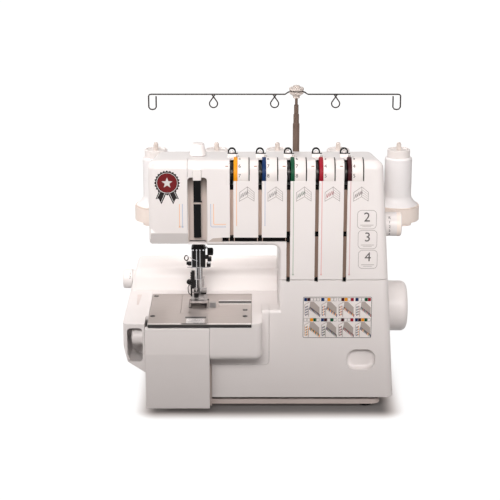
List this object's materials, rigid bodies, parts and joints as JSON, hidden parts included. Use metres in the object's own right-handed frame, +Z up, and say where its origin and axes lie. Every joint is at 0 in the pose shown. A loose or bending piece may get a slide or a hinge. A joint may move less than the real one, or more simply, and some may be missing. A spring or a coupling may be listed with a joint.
{
  "type": "overlock sewing machine",
  "caption": "Table-top overlock sewing machine with tension dials in a slotted front, steel cloth plates, a hinged looper cover, a scrap flap and a spool stand with a thread mast.",
  "frame": {"origin": "bottom centre of the whole machine's box, on the table", "axes": "+Z up, +Y to the back, +X to the operator's right"},
  "size_m": [0.3708, 0.279, 0.339],
  "materials": {
    "white_cover": "smooth satin white",
    "dial_white": "smooth white",
    "base_grey": "matte warm grey",
    "foot_rubber": "matte black",
    "frame_alloy": "cast",
    "plate_steel": "brushed",
    "bright_chrome": "polished",
    "black_metal": "black",
    "black_plastic": "matte black",
    "motor_paint": "grey enamel",
    "pulley_alloy": "turned",
    "belt_rubber": "matte",
    "bush_bronze": "turned bronze",
    "thread_white": "wound white thread",
    "pin_plastic": "white",
    "mast_bronze": "dark bronze",
    "lamp_glass": "frosted"
  },
  "bodies": {
    "body": {"base_tub": "base_grey", "rubber_feet": "foot_rubber", "machine_frame": "frame_alloy", "rear_cover": "white_cover", "upper_front_cover": "white_cover", "face_cover": "white_cover", "bed_cover": "white_cover", "rear_bed_cover": "white_cover", "cloth_plate": "plate_steel", "needle_plate": "plate_steel", "channel_cover": "white_cover", "thread_guides": "black_metal", "lamp_lens": "lamp_glass", "tension_shafts": "plate_steel", "tension_discs": "bright_chrome", "presser_spring": "plate_steel", "lower_knife": "plate_steel", "shaft_bushes": "bush_bronze", "motor": "motor_paint", "drive_belt": "belt_rubber", "power_inlet": "black_plastic", "spool_stand": "white_cover", "spool_pins": "pin_plastic", "mast_lower": "mast_bronze", "screws": "bright_chrome"},
    "drive": {"main_shaft": "plate_steel", "drive_pulley": "black_plastic", "handwheel": "white_cover"},
    "motor_rotor": {"motor_pulley": "pulley_alloy"},
    "needle_unit": {"needle_bar": "bright_chrome", "needle_clamp": "black_metal", "needles": "bright_chrome"},
    "presser_unit": {"presser_bar": "bright_chrome", "presser_foot": "bright_chrome"},
    "lifter": {"presser_lever": "black_plastic"},
    "pressure_screw": {"pressure_knob": "white_cover"},
    "upper_looper": {"upper_looper": "plate_steel"},
    "lower_looper": {"lower_looper": "plate_steel"},
    "feed": {"feed_dog": "plate_steel"},
    "moving_knife": {"upper_knife": "plate_steel"},
    "length_dial": {"stitch_length_dial": "white_cover"},
    "feed_ratio_dial": {"differential_dial": "white_cover"},
    "width_dial": {"cutting_width_dial": "white_cover"},
    "cover_carriage": {"cover_hinge_rod": "plate_steel"},
    "looper_cover": {"front_cover": "white_cover"},
    "scrap_flap": {"waste_flap": "white_cover"},
    "mast_stage_two": {"mast_middle": "mast_bronze"},
    "mast_stage_three": {"mast_upper": "mast_bronze"},
    "thread_guide": {"thread_guide_wire": "mast_bronze"},
    "switch": {"power_switch": "black_plastic"},
    "dial_1": {"tension_dial_1": "dial_white"},
    "spool_1": {"thread_spool_1": "thread_white"},
    "dial_2": {"tension_dial_2": "dial_white"},
    "spool_2": {"thread_spool_2": "thread_white"},
    "dial_3": {"tension_dial_3": "dial_white"},
    "spool_3": {"thread_spool_3": "thread_white"},
    "dial_4": {"tension_dial_4": "dial_white"},
    "spool_4": {"thread_spool_4": "thread_white"},
    "dial_5": {"tension_dial_5": "dial_white"},
    "spool_5": {"thread_spool_5": "thread_white"}
  },
  "joints": [
    {"name": "handwheel_turn", "type": "hinge", "parent": "body", "child": "drive", "pos_m": [-0.0294, -0.0025, 0.092], "axis": [1, 0, 0], "continuous": true},
    {"name": "motor_turn", "type": "hinge", "parent": "body", "child": "motor_rotor", "pos_m": [0.0566, -0.0125, 0.205], "axis": [1, 0, 0], "continuous": true},
    {"name": "needle_stroke", "type": "slide", "parent": "body", "child": "needle_unit", "axis": [0, 0, 1], "range_m": [-0.0205, 0.0075]},
    {"name": "presser_lift", "type": "slide", "parent": "body", "child": "presser_unit", "axis": [0, 0, 1], "range_m": [0, 0.006], "deforming": ["presser_spring"]},
    {"name": "lifter_turn", "type": "hinge", "parent": "body", "child": "lifter", "pos_m": [-0.0714, 0.0475, 0.221], "axis": [0, 1, 0], "range_deg": [0, 27]},
    {"name": "pressure_turn", "type": "hinge", "parent": "body", "child": "pressure_screw", "pos_m": [-0.0894, -0.0465, 0.304], "axis": [0, 0, 1], "range_deg": [-180, 180]},
    {"name": "upper_looper_swing", "type": "hinge", "parent": "body", "child": "upper_looper", "pos_m": [-0.1194, -0.0825, 0.046], "axis": [0, 1, 0], "range_deg": [-6, 2]},
    {"name": "lower_looper_swing", "type": "hinge", "parent": "body", "child": "lower_looper", "pos_m": [-0.0494, -0.0625, 0.046], "axis": [0, 1, 0], "range_deg": [-6, 2]},
    {"name": "feed_move", "type": "slide", "parent": "body", "child": "feed", "axis": [0, 1, 0], "range_m": [-0.0025, 0.001]},
    {"name": "knife_stroke", "type": "slide", "parent": "body", "child": "moving_knife", "axis": [0, 0, 1], "range_m": [-0.009, 0.0035]},
    {"name": "stitch_length_turn", "type": "hinge", "parent": "body", "child": "length_dial", "pos_m": [0.1476, -0.0425, 0.206], "axis": [1, 0, 0], "range_deg": [-120, 120]},
    {"name": "differential_turn", "type": "hinge", "parent": "body", "child": "feed_ratio_dial", "pos_m": [-0.1854, 0.0275, 0.117], "axis": [1, 0, 0], "range_deg": [-120, 120]},
    {"name": "cutting_width_turn", "type": "hinge", "parent": "body", "child": "width_dial", "pos_m": [-0.164, -0.1245, 0.096], "axis": [1, 0, 0], "range_deg": [-120, 120]},
    {"name": "cover_slide", "type": "slide", "parent": "body", "child": "cover_carriage", "axis": [1, 0, 0], "range_m": [0, 0.006], "stiffness_N_per_m": 300, "springref_m": -0.004},
    {"name": "cover_swing", "type": "hinge", "parent": "cover_carriage", "child": "looper_cover", "pos_m": [-0.0294, -0.1045, 0.024], "axis": [1, 0, 0], "range_deg": [0, 85]},
    {"name": "flap_swing", "type": "hinge", "parent": "body", "child": "scrap_flap", "pos_m": [-0.1484, -0.134, 0.1075], "axis": [-1, 0, 0], "range_deg": [0, 80]},
    {"name": "mast_middle_slide", "type": "slide", "parent": "body", "child": "mast_stage_two", "axis": [0, 0, 1], "range_m": [0, 0.095]},
    {"name": "mast_upper_slide", "type": "slide", "parent": "mast_stage_two", "child": "mast_stage_three", "axis": [0, 0, 1], "range_m": [0, 0.095]},
    {"name": "guide_swivel", "type": "hinge", "parent": "mast_stage_three", "child": "thread_guide", "pos_m": [0.02908, 0.1305, 0.325], "axis": [0, 0, 1], "range_deg": [-45, 45]},
    {"name": "switch_rock", "type": "hinge", "parent": "body", "child": "switch", "pos_m": [0.13075, 0.0239, 0.039], "axis": [0, 1, 0], "range_deg": [0, 16]},
    {"name": "tension_turn_1", "type": "hinge", "parent": "body", "child": "dial_1", "pos_m": [-0.05, -0.0955, 0.281], "axis": [1, 0, 0], "range_deg": [-150, 150]},
    {"name": "tension_turn_2", "type": "hinge", "parent": "body", "child": "dial_2", "pos_m": [-0.0181, -0.0955, 0.281], "axis": [1, 0, 0], "range_deg": [-150, 150]},
    {"name": "tension_turn_3", "type": "hinge", "parent": "body", "child": "dial_3", "pos_m": [0.0138, -0.0955, 0.281], "axis": [1, 0, 0], "range_deg": [-150, 150]},
    {"name": "tension_turn_4", "type": "hinge", "parent": "body", "child": "dial_4", "pos_m": [0.0457, -0.0955, 0.281], "axis": [1, 0, 0], "range_deg": [-150, 150]},
    {"name": "tension_turn_5", "type": "hinge", "parent": "body", "child": "dial_5", "pos_m": [0.0776, -0.0955, 0.281], "axis": [1, 0, 0], "range_deg": [-150, 150]},
    {"name": "spool_spin_1", "type": "hinge", "parent": "body", "child": "spool_1", "pos_m": [-0.1476, 0.1075, 0.19], "axis": [0, 0, 1], "continuous": true},
    {"name": "spool_spin_2", "type": "hinge", "parent": "body", "child": "spool_2", "pos_m": [-0.0713, 0.1075, 0.19], "axis": [0, 0, 1], "continuous": true},
    {"name": "spool_spin_3", "type": "hinge", "parent": "body", "child": "spool_3", "pos_m": [0.005, 0.1075, 0.19], "axis": [0, 0, 1], "continuous": true},
    {"name": "spool_spin_4", "type": "hinge", "parent": "body", "child": "spool_4", "pos_m": [0.0813, 0.1075, 0.19], "axis": [0, 0, 1], "continuous": true},
    {"name": "spool_spin_5", "type": "hinge", "parent": "body", "child": "spool_5", "pos_m": [0.1576, 0.1075, 0.19], "axis": [0, 0, 1], "continuous": true}
  ],
  "couplings": [
    {"joint": "motor_turn", "follows": "handwheel_turn", "ratio": 3.1111},
    {"joint": "lifter_turn", "follows": "presser_lift", "rad_per_m": 78.53},
    {"joint": "upper_looper_swing", "follows": "needle_stroke", "rad_per_m": 4.5},
    {"joint": "lower_looper_swing", "follows": "needle_stroke", "rad_per_m": 4.5},
    {"joint": "feed_move", "follows": "needle_stroke", "ratio": 0.1},
    {"joint": "knife_stroke", "follows": "needle_stroke", "ratio": 0.4}
  ]
}
